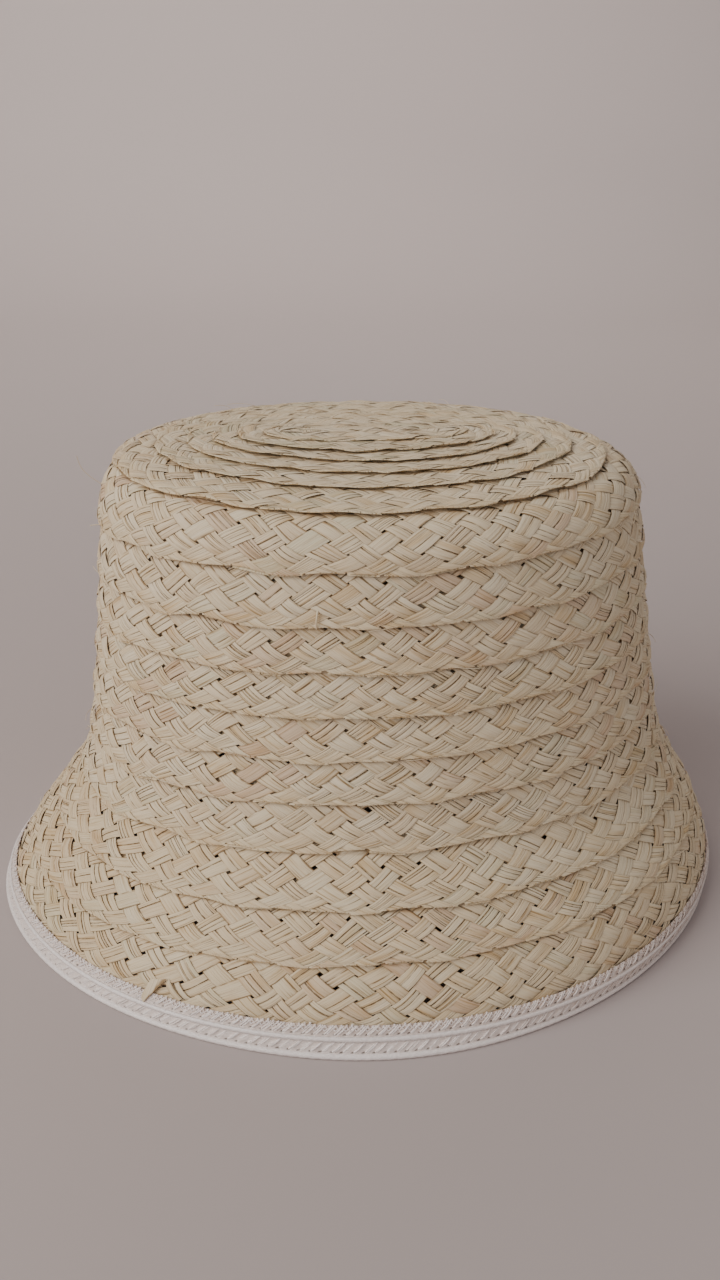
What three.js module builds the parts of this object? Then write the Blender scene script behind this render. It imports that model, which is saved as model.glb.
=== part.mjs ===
import * as THREE from 'three';

// Plan of every level: an oval whose half-length is this much more than its half-width.
const OVAL_EXTRA = 22;

// The soft hat is out of true: its waist sways to +X and sits lower at its -X end.
const WAIST_HEIGHT = 50;
const WAIST_SWAY = 4;
const WAIST_DROP = 6;

// Its tip is higher at its -X end, from one height up to another, and at this reach from the middle.
const TIP_RISE = 2.2;
const TIP_FROM = 115;
const TIP_TO = 150;
const TIP_REACH = 80;

// Its foot is pressed in at two places: angle from the front, spread and depth.
const FOOT_HEIGHT = 20;
const PRESSED_IN = [
  { degrees: 58, spread: 34, depth: 3.5 },
  { degrees: -113, spread: 20, depth: 6 },
];

// Straw braid: wall, gap between two lapped layers, gap where two stretches meet end to end.
const WALL = 1.2;
const LAYER_GAP = 0.45;
const END_GAP = 0.3;

// Width of each turn that is hidden under the turn above it.
const LAP = 5;

// Half of the seam left open in the middle of the coil.
const SEAM_HALF = 0.15;

// Straight stations round one turn of the hat, and round the small turns in the middle of the tip.
const STATIONS_PER_TURN = 40;
const INNER_STATIONS = 24;
const INNER_TURNS = 4;

// Drop from the outer face of one layer to the outer face of the layer under it.
const LAYER_STEP = WALL + LAYER_GAP;

// Outer outline of the straw from the middle of the tip down to the table.
const OUTLINE = [
  { at: 'tip middle', halfWidth: 0, height: 160.3 },
  { at: 'tip', halfWidth: 20, height: 159.2 },
  { at: 'tip outer', halfWidth: 40, height: 157 },
  { at: 'tip rim', halfWidth: 57.3, height: 153 },
  { at: 'shoulder', halfWidth: 64.2, height: 146 },
  { at: 'side top', halfWidth: 66.6, height: 136 },
  { at: 'side', halfWidth: 69.9, height: 110.8 },
  { at: 'side lower', halfWidth: 74.4, height: 81.5 },
  { at: 'waist', halfWidth: 79.8, height: 55 },
  { at: 'brim top', halfWidth: 88.5, height: 39.3 },
  { at: 'brim', halfWidth: 97.5, height: 25.5 },
  { at: 'brim lower', halfWidth: 104.6, height: 12.5 },
  { at: 'brim foot', halfWidth: 107.2, height: 0 },
];

// Outer edge of the braid, measured down the outline, at turns counted from the front middle.
const COIL = [
  { turn: -0.75, edge: -3.7 },
  { turn: 0.25, edge: 4.6 },
  { turn: 5, edge: 44 },
  { turn: 6, edge: 57 },
  { turn: 7, edge: 75.7 },
  { turn: 13, edge: 161.2 },
  { turn: 14, edge: 178.8 },
  { turn: 15, edge: 194.5 },
  { turn: 15.75, edge: 214.4 },
  { turn: 16.8, edge: 216.4 },
];

// The one length of braid is counted in three stretches, by the form it takes.
const STRETCHES = [
  { name: 'crown_tip', from: 0.25, to: 6.5, middles: 1, color: 0xd8c6a4 },
  { name: 'crown_side', from: 6.5, to: 13.5, middles: 2, color: 0xd3c09c },
  { name: 'brim', from: 13.5, to: 16.8, middles: 1, color: 0xcfbb97 },
];

// White edge braid: two level rows, given by distance up from the table along the outline,
// and by how far their inner and outer faces stand off the straw.
const UPPER_ROW = [
  { up: 4.6, inner: 1.75, outer: 2.7 },
  { up: 6, inner: 1.75, outer: 2.9 },
  { up: 10.2, inner: 0.4, outer: 1.3 },
];
const LOWER_ROW = [
  { up: 0, inner: -0.4, outer: 1.9 },
  { up: 1.7, inner: 0.1, outer: 2.2 },
  { up: 3.2, inner: 0.4, outer: 1.4 },
  { up: 6.3, inner: 0.4, outer: 1.4 },
];
const WHITE = 0xe8e5e0;

const outline = new THREE.SplineCurve(
  OUTLINE.map((row) => new THREE.Vector2(row.halfWidth, row.height)),
);
outline.arcLengthDivisions = 2000;
const outlineLength = outline.getLength();

// Point of the outline moved outward from it.
function onOutline(distance, outward) {
  const share = THREE.MathUtils.clamp(distance / outlineLength, 0, 1);
  const point = outline.getPointAt(share);
  const along = outline.getTangentAt(share);
  return { halfWidth: point.x - along.y * outward, height: point.y + along.x * outward };
}

// How far the foot is pressed in at a height and an angle.
function pressedIn(height, angle) {
  const foot = Math.exp(-((height / FOOT_HEIGHT) ** 2));
  return PRESSED_IN.reduce((total, place) => {
    const away = angle - THREE.MathUtils.degToRad(place.degrees);
    const degrees = THREE.MathUtils.radToDeg(Math.atan2(Math.sin(away), Math.cos(away)));
    return total + foot * place.depth * Math.exp(-((degrees / place.spread) ** 2));
  }, 0);
}

// Place on the oval at an angle counted from the front towards +X.
function onOval(section, angle) {
  const rise = section.height / WAIST_HEIGHT;
  const waist = rise * Math.exp(1 - rise);
  const towardsDrop = Math.max(0, -Math.sin(angle));
  const halfWidth = section.halfWidth - pressedIn(section.height, angle);
  const x = (halfWidth + OVAL_EXTRA) * Math.sin(angle);
  const tip = THREE.MathUtils.smoothstep(section.height, TIP_FROM, TIP_TO);
  const tipRise = TIP_RISE * tip * Math.max(0, -x / TIP_REACH);
  return [
    x + WAIST_SWAY * waist,
    -halfWidth * Math.cos(angle),
    section.height - WAIST_DROP * (towardsDrop * waist) ** 2 + tipRise,
  ];
}

// Slope of the coil table at a row, limited so that the edge never turns back.
function coilSlope(row) {
  const last = COIL.length - 1;
  const steps = [];
  if (row > 0) {
    steps.push((COIL[row].edge - COIL[row - 1].edge) / (COIL[row].turn - COIL[row - 1].turn));
  }
  if (row < last) {
    steps.push((COIL[row + 1].edge - COIL[row].edge) / (COIL[row + 1].turn - COIL[row].turn));
  }
  const sum = steps.reduce((total, step) => total + 1 / step, 0);
  return steps.length / sum;
}

// Distance of the braid's outer edge down the outline at a turn.
function edgeAt(turn) {
  let row = 0;
  while (row < COIL.length - 2 && COIL[row + 1].turn <= turn) {
    row += 1;
  }
  const here = COIL[row];
  const next = COIL[row + 1];
  const span = next.turn - here.turn;
  const t = (turn - here.turn) / span;
  const t2 = t * t;
  const t3 = t2 * t;
  return here.edge * (2 * t3 - 3 * t2 + 1)
    + coilSlope(row) * span * (t3 - 2 * t2 + t)
    + next.edge * (3 * t2 - 2 * t3)
    + coilSlope(row + 1) * span * (t3 - t2);
}

// Edges that bound the braid at a turn: its own, the turn above, and two turns above.
function edgesAt(turn) {
  const own = edgeAt(turn);
  const above = Math.max(SEAM_HALF, edgeAt(Math.max(turn - 1, COIL[0].turn)));
  const beyond = edgeAt(Math.max(turn - 2, COIL[0].turn));
  const hidden = Math.max(SEAM_HALF, above - LAP);
  return { own, above, beyond, hidden };
}

// How far the outer face of the braid lies under the outline at a distance down it.
function sinkAt(turn, distance) {
  const { own, above, beyond } = edgesAt(turn);
  const settled = THREE.MathUtils.smoothstep(turn, 0.6, 1.25);
  if (distance >= above) {
    return settled * LAYER_STEP * (own - distance) / (own - above);
  }
  return settled * LAYER_STEP * (1 + (above - distance) / Math.max(above - beyond, LAP));
}

// Distances down the outline at which the braid's section bends.
function bendsAt(turn, middles) {
  const { own, above, hidden } = edgesAt(turn);
  const firstBend = Math.max(above, hidden + 0.3 * (own - hidden));
  const lastBend = Math.max(own - LAP, (firstBend + own) / 2);
  const bends = [hidden, firstBend];
  for (let k = 1; k <= middles; k += 1) {
    bends.push(firstBend + (lastBend - firstBend) * k / middles);
  }
  bends.push(own);
  return bends;
}

// Closed section of the braid: outer face down the slope, then the inner face back up.
function braidSection(turn, middles) {
  const bends = bendsAt(turn, middles);
  const outer = bends.map((d) => onOutline(d, -sinkAt(turn, d)));
  const inner = bends.map((d) => onOutline(d, -sinkAt(turn, d) - WALL));
  return outer.concat(inner.reverse());
}

// Skin a run of equal closed sections; a run that is not a ring gets two end faces.
function skin(sections, ring) {
  const size = sections[0].length;
  const positions = sections.flat(2);
  const faces = [];
  const spans = ring ? sections.length : sections.length - 1;
  for (let i = 0; i < spans; i += 1) {
    const near = i * size;
    const far = ((i + 1) % sections.length) * size;
    for (let j = 0; j < size; j += 1) {
      const k = (j + 1) % size;
      faces.push(near + j, far + k, near + k, near + j, far + j, far + k);
    }
  }
  if (!ring) {
    const end = (sections.length - 1) * size;
    for (let j = 0; j < size / 2 - 1; j += 1) {
      const k = size - 1 - j;
      faces.push(j, j + 1, k - 1, j, k - 1, k);
      faces.push(end + j, end + k - 1, end + j + 1, end + j, end + k, end + k - 1);
    }
  }
  const geometry = new THREE.BufferGeometry();
  geometry.setAttribute('position', new THREE.Float32BufferAttribute(positions, 3));
  geometry.setIndex(faces);
  geometry.computeVertexNormals();
  return geometry;
}

function mesh(name, geometry, color, roughness) {
  const material = new THREE.MeshStandardMaterial({ color, roughness });
  material.name = name;
  const piece = new THREE.Mesh(geometry, material);
  piece.name = name;
  return piece;
}

// Turn at which a point lies this far along the edge beyond a turn.
function turnAfter(turn, length) {
  const radius = onOutline(edgeAt(turn), 0).halfWidth + OVAL_EXTRA / 2;
  return turn + length / (2 * Math.PI * radius);
}

// Next station after a turn.
function nextStation(turn) {
  const count = turn < INNER_TURNS ? INNER_STATIONS : STATIONS_PER_TURN;
  return (Math.floor(turn * count + 0.01) + 1) / count;
}

// One stretch of the coiled braid, turning clockwise seen from above as it goes down.
function braidStretch(stretch) {
  const end = turnAfter(stretch.to, -END_GAP / 2);
  const turns = [turnAfter(stretch.from, END_GAP / 2)];
  let turn = nextStation(stretch.from);
  while (turn < stretch.to - 0.5 / STATIONS_PER_TURN) {
    turns.push(turn);
    turn = nextStation(turn);
  }
  turns.push(end);
  const sections = turns.map((at) => {
    const angle = -2 * Math.PI * at;
    return braidSection(at, stretch.middles).map((corner) => onOval(corner, angle));
  });
  return mesh(stretch.name, skin(sections, false), stretch.color, 0.75);
}

// One level row of the edge braid; its lowest face lies flat when it starts at the table.
function edgeRow(name, rows) {
  const corner = (row, outward) => {
    const point = onOutline(outlineLength - row.up, outward);
    return row.up === 0 ? { halfWidth: point.halfWidth, height: 0 } : point;
  };
  const outer = rows.map((row) => corner(row, row.outer)).reverse();
  const inner = rows.map((row) => corner(row, row.inner));
  const section = outer.concat(inner);
  const sections = [];
  for (let station = 0; station < STATIONS_PER_TURN; station += 1) {
    const angle = -2 * Math.PI * station / STATIONS_PER_TURN;
    sections.push(section.map((point) => onOval(point, angle)));
  }
  return mesh(name, skin(sections, true), WHITE, 0.35);
}

const hat = new THREE.Group();
hat.name = 'straw_hat';
for (const stretch of STRETCHES) {
  hat.add(braidStretch(stretch));
}
hat.add(edgeRow('edge_braid_upper', UPPER_ROW));
hat.add(edgeRow('edge_braid_lower', LOWER_ROW));

export default hat;
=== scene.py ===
"""Looks of the straw hat: every strip of the plaited braid, the white edge braid, and the studio."""

import math
from types import SimpleNamespace

import bpy
import numpy as np
from mathutils import Matrix, Vector


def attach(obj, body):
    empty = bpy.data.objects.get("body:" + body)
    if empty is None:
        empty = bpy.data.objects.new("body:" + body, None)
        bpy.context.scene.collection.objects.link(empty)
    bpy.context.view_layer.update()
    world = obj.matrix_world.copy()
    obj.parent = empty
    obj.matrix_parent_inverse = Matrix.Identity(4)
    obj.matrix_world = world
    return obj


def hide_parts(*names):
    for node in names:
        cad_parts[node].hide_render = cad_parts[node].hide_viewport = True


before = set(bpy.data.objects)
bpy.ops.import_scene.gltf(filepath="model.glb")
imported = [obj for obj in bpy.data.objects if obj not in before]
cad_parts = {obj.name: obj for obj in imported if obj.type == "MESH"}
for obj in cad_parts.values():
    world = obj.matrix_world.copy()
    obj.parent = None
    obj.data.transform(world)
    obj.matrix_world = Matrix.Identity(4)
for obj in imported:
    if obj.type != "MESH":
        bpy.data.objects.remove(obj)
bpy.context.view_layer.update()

MM = 0.001

# Form of the hat, in millimetres: the same driving sizes as its solids.
OVAL_EXTRA = 22.0
WAIST_HEIGHT = 50.0
WAIST_SWAY = 4.0
WAIST_DROP = 6.0

# The tip is higher at its -X end, from one height up to another, and at this reach from the middle.
TIP_RISE = 2.2
TIP_HEIGHTS = (115.0, 150.0)
TIP_REACH = 80.0

# The foot is pressed in at two places: angle from the front in degrees, spread and depth.
FOOT_HEIGHT = 20.0
PRESSED_IN = [
    (58.0, 34.0, 3.5),
    (-113.0, 20.0, 6.0),
]

# Outer outline of the straw: half width and height, from the middle of the tip down to the foot.
OUTLINE = {
    "tip middle": (0.0, 160.3),
    "tip": (20.0, 159.2),
    "tip outer": (40.0, 157.0),
    "tip rim": (57.3, 153.0),
    "shoulder": (64.2, 146.0),
    "side top": (66.6, 136.0),
    "side": (69.9, 110.8),
    "side lower": (74.4, 81.5),
    "waist": (79.8, 55.0),
    "brim top": (88.5, 39.3),
    "brim": (97.5, 25.5),
    "brim lower": (104.6, 12.5),
    "brim foot": (107.2, 0.0),
}
OUTLINE_SAMPLES = 6000

# Outer edge of the braid, measured down the outline: turn and distance.
COIL = [
    (-0.75, -3.7),
    (0.25, 4.6),
    (5.0, 44.0),
    (6.0, 57.0),
    (7.0, 75.7),
    (13.0, 161.2),
    (14.0, 178.8),
    (15.0, 194.5),
    (15.75, 214.4),
    (16.8, 216.4),
]
COIL_SAMPLES = 12000

# The braid's length, cut into pieces by turn: piece, node it stands for, first and last turn.
STRETCHES = [
    ("straw_tip", "crown_tip", 0.25, 6.5),
    ("straw_side_upper", "crown_side", 6.5, 10.0),
    ("straw_side_lower", "crown_side", 10.0, 13.5),
    ("straw_brim", "brim", 13.5, 16.8),
]
BRAID_START = STRETCHES[0][2]
BRAID_END = STRETCHES[-1][3]

# Turns over which the ways of the tip fade out, and those of the brim set in.
TIP_FADE = (5.2, 6.6)
BRIM_TURNS = (12.8, 14.2)

# Plait: number of strips, width of the braid and spacing of its strips along the row.
STRIPS = 8
BRAID_WIDTH = 25.5
HALF_BRAID = BRAID_WIDTH / 2
LEG_SPACING = 10.8
STRIP_ANGLE = math.atan(2 * BRAID_WIDTH / (STRIPS * LEG_SPACING))
STRIP_PITCH = LEG_SPACING * math.sin(STRIP_ANGLE)

# Share by which the strips flatten towards the edges of the braid, where they turn back.
EDGE_FLATTENING = 0.42

# Height of a strip over the middle of the braid, how flat its top is, and the share left on the tip.
OVER_HEIGHT = 0.37
TOP_FLATNESS = 1.7
TIP_WEAVE = 0.62

# Drop from one lapped layer to the next. The first turns, the tip's and the last ones lie closer:
# turns over which that changes, and the share of the drop that is left.
LAYER_STEP = 1.65
SETTLING = (0.9, 2.4)
FIRST_STEP = 0.15
TIP_STEP = 0.7
CLOSING = (15.45, 15.75)
LAST_STEP = 0.15

# First turn of the braid: where it ends, how far it reaches past the middle of the tip,
# and how far short of the middle the later turns stop.
FIRST_TURN_ENDS = 1.4
PAST_MIDDLE = 3.0
SEAM_HALF = 0.2

# Grid of one strip: rows along it, of which some are in the folds, and stations across it.
STRIP_ROWS = 29
FOLD_ROWS = 4
ACROSS = np.array([0.0, 0.12, 0.88, 1.0])
AT_EDGE = np.where((ACROSS == 0) | (ACROSS == 1), 1.0, 0.0)

# Width of a strip as a share of its pitch, taper along it, and how far it lies aside.
WIDTH_RANGE = (0.85, 1.0)
BRIM_WIDTH_RANGE = (0.84, 1.0)
TAPER = 0.12
SIDE_SHIFT = 0.4

# Share by which the strips are narrower where the plait is open, length of such places,
# and share by which they are narrower at the left of the brim.
OPEN_SHARE = 0.12
OPEN_LENGTH = 70.0
LEFT_OPEN = 0.055

# Splits along a strip: shares of strips in one to five parts, spread of the parts' widths,
# gap between two parts, its place and reach along the strip, and the share of the width
# from which a part lies at the strip's own edge.
SPLIT_SHARES = (0.22, 0.28, 0.24, 0.16, 0.1)
TIP_SPLIT_SHARES = (0.1, 0.22, 0.28, 0.24, 0.16)
PART_SPREAD = (0.35, 1.6)
SPLIT_GAP = (0.04, 0.26)
SPLIT_PLACE = (0.2, 0.9)
SPLIT_REACH = (0.15, 0.6)
LAST_CUT = 0.999

# Relief of a strip: bow over its width, curl of its edges, tilt, and lift of its parts.
CROWN_OF_STRIP = 0.1
EDGE_CURL = 0.11
TILT = 0.13
PART_LIFT = 0.035

# Waves of the straw, height and length: crumples in a strip, which are shorter across the row,
# swells of a row, wobble of its edges, and drift of the strips along it.
CRUMPLE = 0.06
CRUMPLE_LENGTH = 9.0
CRUMPLE_ACROSS = 2.0
SWELL = 0.12
SWELL_LENGTH = 31.0
WOBBLE = 0.75
WOBBLE_LENGTH = 30.0
DRIFT = 0.8
DRIFT_LENGTH = 34.0

# Raggedness of a row's edge, and the share of a strip's length where it begins.
RAGGED = 0.35
RAGGED_FROM = 0.6

# Turns of the tip: raggedness and curl of their edges, and the length of both.
TIP_RAGGED = 0.45
TIP_CURL = 0.2
TIP_LENGTH = 11.0

# Tints: highest outside the tip, spread between parts of a strip, and share of the last tint on the tip,
# which is greenish straw and also painted shade that darkens the top.
LAST_TINT = 0.94
PART_TINT = 0.06
TIP_TINT_AND_SHADE = 0.55

# Brown edges of strips: share left on the tip, share lost where the strips fold back
# at the lower edge of a row, reach of those places, and share lost at the right, painted lighter there to
# soften the side that lies in shade.
TIP_RIMS = 0.5
CLEAN_EDGE = 0.8
CLEAN_REACH = 5.0
RIGHT_SHADE_SOFTENING = 0.5

# Painted shade under the edge of the row above, brown: strength, reach, and share left on the tip.
SEAM_PAINTED_SHADE = 0.75
SEAM_REACH = 1.4
TIP_SEAM_PAINTED_SHADE = 0.8

# Yellowing of the brim, and more of it at its left.
BRIM_YELLOW = 0.5
LEFT_YELLOW = 0.5

# Offset between the grain of neighbouring strips, and of neighbouring threads.
GRAIN_STEP = 61.7
THREAD_STEP = 37.3

# Waves of one ripple: how many, range of their lengths, lean and scale of their sum.
WAVES = 6
WAVE_LENGTHS = (0.6, 1.8)
WAVE_LEAN = 0.6
WAVE_SUM = 3.2

# Seeds of the random draws and of the ripples.
STRIP_SEED = 7
STRETCH_SEEDS = 100
SWELL_SEED = 18
WOBBLE_SEED = 19
DRIFT_SEED = 20
RAGGED_SEED = 21
CURL_SEED = 22
OPEN_SEED = 23
CRUMPLE_SEED = 24
RIB_SEED = 37
LOOP_SEED = 38
BAND_SEED = 39
FIBRE_SEED = 57


def catmull_rom(points, samples):
    """Points of a smooth curve through given points, evenly shared between them."""
    given = np.asarray(points, float)
    last = len(given) - 1
    place = np.linspace(0, last, samples)
    row = np.minimum(place.astype(int), last - 1)
    t = (place - row)[:, None]
    before = given[np.maximum(row - 1, 0)]
    here = given[row]
    after = given[row + 1]
    beyond = given[np.minimum(row + 2, last)]
    start = (after - before) / 2
    end = (beyond - here) / 2
    cubic = 2 * here - 2 * after + start + end
    square = 3 * after - 3 * here - 2 * start - end
    return cubic * t**3 + square * t**2 + start * t + here


def smooth_step(values, start, end):
    share = np.clip((values - start) / (end - start), 0, 1)
    return share**2 * (3 - 2 * share)


def mixed(start, end, share):
    return start + (end - start) * share


def running_length(points):
    steps = np.linalg.norm(np.diff(points, axis=0), axis=1)
    return np.concatenate([[0.0], np.cumsum(steps)])


# Outline by distance from the middle of the tip, carried on across the middle.
outline_half = catmull_rom(list(OUTLINE.values()), OUTLINE_SAMPLES)
outline_mirror = outline_half[:0:-1] * np.array([-1.0, 1.0])
outline_points = np.concatenate([outline_mirror, outline_half])
outline_at = running_length(outline_points)
outline_at -= outline_at[len(outline_mirror)]
outline_slope = np.gradient(outline_points, outline_at, axis=0)
OUTLINE_LENGTH = outline_at[-1]


def on_outline(distance, outward):
    """Half width and height at a distance down the outline, moved outward from it."""
    half_width = np.interp(distance, outline_at, outline_points[:, 0])
    height = np.interp(distance, outline_at, outline_points[:, 1])
    along_width = np.interp(distance, outline_at, outline_slope[:, 0])
    along_height = np.interp(distance, outline_at, outline_slope[:, 1])
    return half_width - along_height * outward, height + along_width * outward


def pressed_in(height, angle):
    """How far the foot is pressed in at a height and an angle."""
    total = 0.0
    for degrees, spread, depth in PRESSED_IN:
        away = np.mod(np.degrees(angle) - degrees + 180, 360) - 180
        total = total + depth * np.exp(-((away / spread) ** 2))
    return total * np.exp(-((height / FOOT_HEIGHT) ** 2))


def on_oval(half_width, height, angle):
    """Place on the oval at an angle counted from the front towards +X."""
    rise = np.maximum(height, 0) / WAIST_HEIGHT
    waist = rise * np.exp(1 - rise)
    towards_drop = np.maximum(0, -np.sin(angle))
    half_width = half_width - pressed_in(height, angle)
    x = (half_width + OVAL_EXTRA) * np.sin(angle)
    y = -half_width * np.cos(angle)
    tip_rise = TIP_RISE * smooth_step(height, *TIP_HEIGHTS) * np.maximum(0, -x / TIP_REACH)
    z = height - WAIST_DROP * (towards_drop * waist) ** 2 + tip_rise
    return np.stack(np.broadcast_arrays(x + WAIST_SWAY * waist, y, z), axis=-1)


def coil_curve(samples):
    """Turns, and the distance of the braid's outer edge at each."""
    turns = np.array([row[0] for row in COIL])
    edges = np.array([row[1] for row in COIL])
    steps = np.diff(edges) / np.diff(turns)
    slopes = np.concatenate([steps[:1], 2 / (1 / steps[:-1] + 1 / steps[1:]), steps[-1:]])
    at = np.linspace(turns[0], turns[-1], samples)
    row = np.clip(np.searchsorted(turns, at, side="right") - 1, 0, len(turns) - 2)
    span = turns[row + 1] - turns[row]
    t = (at - turns[row]) / span
    edge = edges[row] * (2 * t**3 - 3 * t**2 + 1)
    edge += slopes[row] * span * (t**3 - 2 * t**2 + t)
    edge += edges[row + 1] * (3 * t**2 - 2 * t**3)
    edge += slopes[row + 1] * span * (t**3 - t**2)
    return at, edge


def angle_of(turn):
    """The braid turns clockwise, seen from above, as it goes down."""
    return -2 * np.pi * turn


coil_turns, coil_edges = coil_curve(COIL_SAMPLES)

# Length along the braid, measured at the middle of the part of it that shows.
shown_middle = (coil_edges + np.interp(coil_turns - 1, coil_turns, coil_edges)) / 2
shown_width, shown_height = on_outline(np.maximum(shown_middle, SEAM_HALF), 0.0)
coil_lengths = running_length(on_oval(shown_width, shown_height, angle_of(coil_turns)))

# Depth of each turn under the outline, counted from the start of the braid.
coil_steps = LAYER_STEP * mixed(FIRST_STEP, 1.0, smooth_step(coil_turns, *SETTLING))
coil_steps *= mixed(TIP_STEP, 1.0, smooth_step(coil_turns, *TIP_FADE))
coil_steps *= mixed(1.0, LAST_STEP, smooth_step(coil_turns, *CLOSING))
coil_depths = np.cumsum(coil_steps * np.gradient(coil_turns))


def length_at(turn):
    return np.interp(turn, coil_turns, coil_lengths)


def turn_at(length):
    return np.interp(length, coil_lengths, coil_turns)


def edge_at(turn):
    return np.interp(turn, coil_turns, coil_edges)


def place_on_braid(along, across, lift):
    """Point of the hat at a length along the braid, a place across it and a lift off its middle."""
    turn = turn_at(along)
    distance = edge_at(turn) - HALF_BRAID + across
    depth = np.interp(turn, coil_turns, coil_depths) - np.interp(distance, coil_edges, coil_depths)
    half_width, height = on_outline(distance, lift - np.maximum(0, depth))
    past_middle = np.where(turn < FIRST_TURN_ENDS, PAST_MIDDLE, -SEAM_HALF)
    return on_oval(half_width, height, angle_of(turn)), distance > -past_middle


def ripple(along, across, length, seed):
    """Smooth unevenness between about -1 and 1 over the face of the braid."""
    rng = np.random.default_rng(seed)
    total = np.zeros(np.broadcast(along, across).shape)
    for _ in range(WAVES):
        wave = 2 * np.pi / (length * rng.uniform(*WAVE_LENGTHS))
        lean = rng.uniform(-WAVE_LEAN, WAVE_LEAN)
        phase = rng.uniform(0, 2 * np.pi)
        total = total + np.sin(wave * (along + lean * across) + phase)
    return total / WAVE_SUM


def left_of_brim(turn):
    """One at the left end of the brim, fading to nothing at its front and back and above it."""
    return np.maximum(0, -np.sin(angle_of(turn))) * smooth_step(turn, *BRIM_TURNS)


def weave_height(phase):
    """Over and under of one strip, flat on top and quick in between."""
    return OVER_HEIGHT * np.tanh(TOP_FLATNESS * phase) / math.tanh(TOP_FLATNESS)


def strip_cuts(count, split_shares, rng):
    """How each strip of the braid is split lengthwise: owner, first and last share of its width."""
    owners, firsts, lasts = [], [], []
    for owner in range(count):
        parts = 1 + rng.choice(len(split_shares), p=split_shares)
        spread = rng.uniform(*PART_SPREAD, parts)
        cuts = np.concatenate([[0.0], np.cumsum(spread) / spread.sum()])
        owners.extend([owner] * parts)
        firsts.extend(cuts[:-1])
        lasts.extend(cuts[1:])
    return np.array(owners), np.array(firsts), np.array(lasts)


def draw_strips(legs, split_shares, width_range, seed):
    """Random draws for all strips of one slant, each given for every part of a split strip."""
    rng = np.random.default_rng(seed)
    count = len(legs)
    owner, first_share, last_share = strip_cuts(count, split_shares, rng)
    parts = len(owner)
    place = legs * LEG_SPACING
    openness = ripple(place, 0.0, OPEN_LENGTH, OPEN_SEED)
    width = STRIP_PITCH * rng.uniform(*width_range, count)
    width = width * (1 - OPEN_SHARE * np.maximum(0, openness))
    width = width * (1 - LEFT_OPEN * left_of_brim(turn_at(place)))
    return SimpleNamespace(
        leg=legs[owner],
        first_share=first_share,
        last_share=last_share,
        width=width[owner],
        shift=rng.uniform(-SIDE_SHIFT, SIDE_SHIFT, count)[owner],
        tint=rng.uniform(0, LAST_TINT, count)[owner],
        tilt=rng.normal(0, TILT, count)[owner],
        gap=rng.uniform(*SPLIT_GAP, parts),
        split_at=rng.uniform(*SPLIT_PLACE, count)[owner],
        split_reach=rng.uniform(*SPLIT_REACH, count)[owner],
        part_tint=rng.normal(0, PART_TINT, parts),
        part_lift=rng.normal(0, PART_LIFT, parts),
        part_tilt=rng.normal(0, TILT, parts),
        taper=rng.uniform(-TAPER, TAPER, count)[owner],
        ragged=rng.uniform(-RAGGED, RAGGED, count)[owner],
    )


def strip_rows():
    """Rows along a strip and a quarter turn round the fold at each end, and their shares of its length."""
    wrap = OVER_HEIGHT * math.pi / 2
    reach = HALF_BRAID + wrap
    inner = np.linspace(-HALF_BRAID, HALF_BRAID, STRIP_ROWS - FOLD_ROWS)
    unfolded = np.concatenate([[-reach, -reach + wrap / 2], inner, [reach - wrap / 2, reach]])
    return unfolded, (unfolded + reach) / (2 * reach)


def places_across(drawn, share):
    """Place across its strip of every grid point, and its distance from the strip's middle line."""
    from_opening = (share[None, :] - drawn.split_at[:, None]) / drawn.split_reach[:, None]
    half_gap = drawn.gap[:, None] * np.exp(-from_opening**2) / 2
    width = drawn.width[:, None] * (1 + drawn.taper[:, None] * (share - 0.5)[None, :])
    first = drawn.first_share[:, None]
    last = drawn.last_share[:, None]
    low = first * width + np.where(first > 0, half_gap, 0)
    high = last * width - np.where(last < LAST_CUT, half_gap, 0)
    across_strip = low[:, :, None] + (high - low)[:, :, None] * ACROSS[None, None, :]
    return across_strip, across_strip - width[:, :, None] / 2 + drawn.shift[:, None, None]


def crossing_phase(along, inside, index, slant):
    """One where a strip goes over the others, and minus one where it goes under."""
    sine = along * math.sin(STRIP_ANGLE)
    cosine = inside * math.cos(STRIP_ANGLE)
    crossed = (slant * sine + cosine) / STRIP_PITCH + STRIPS / 4
    parity = np.where(index % 2 == 0, 1.0, -1.0)
    edge_sign = -1.0 if STRIPS % 2 == 0 else 1.0
    return edge_sign * slant * parity * np.cos(np.pi * crossed)


def strip_relief(drawn):
    """Lift of every station across a strip: bowed, curled at the edges and tilted."""
    part_width = (drawn.last_share - drawn.first_share)[:, None, None]
    bow = 4 * ACROSS * (1 - ACROSS)
    relief = part_width * (CROWN_OF_STRIP * bow - EDGE_CURL * AT_EDGE)[None, None, :]
    relief = relief + drawn.part_lift[:, None, None]
    place = drawn.first_share[:, None, None] + part_width * ACROSS[None, None, :]
    relief = relief + drawn.tilt[:, None, None] * (place - 0.5)
    return relief + drawn.part_tilt[:, None, None] * part_width * (ACROSS - 0.5)[None, None, :]


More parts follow.
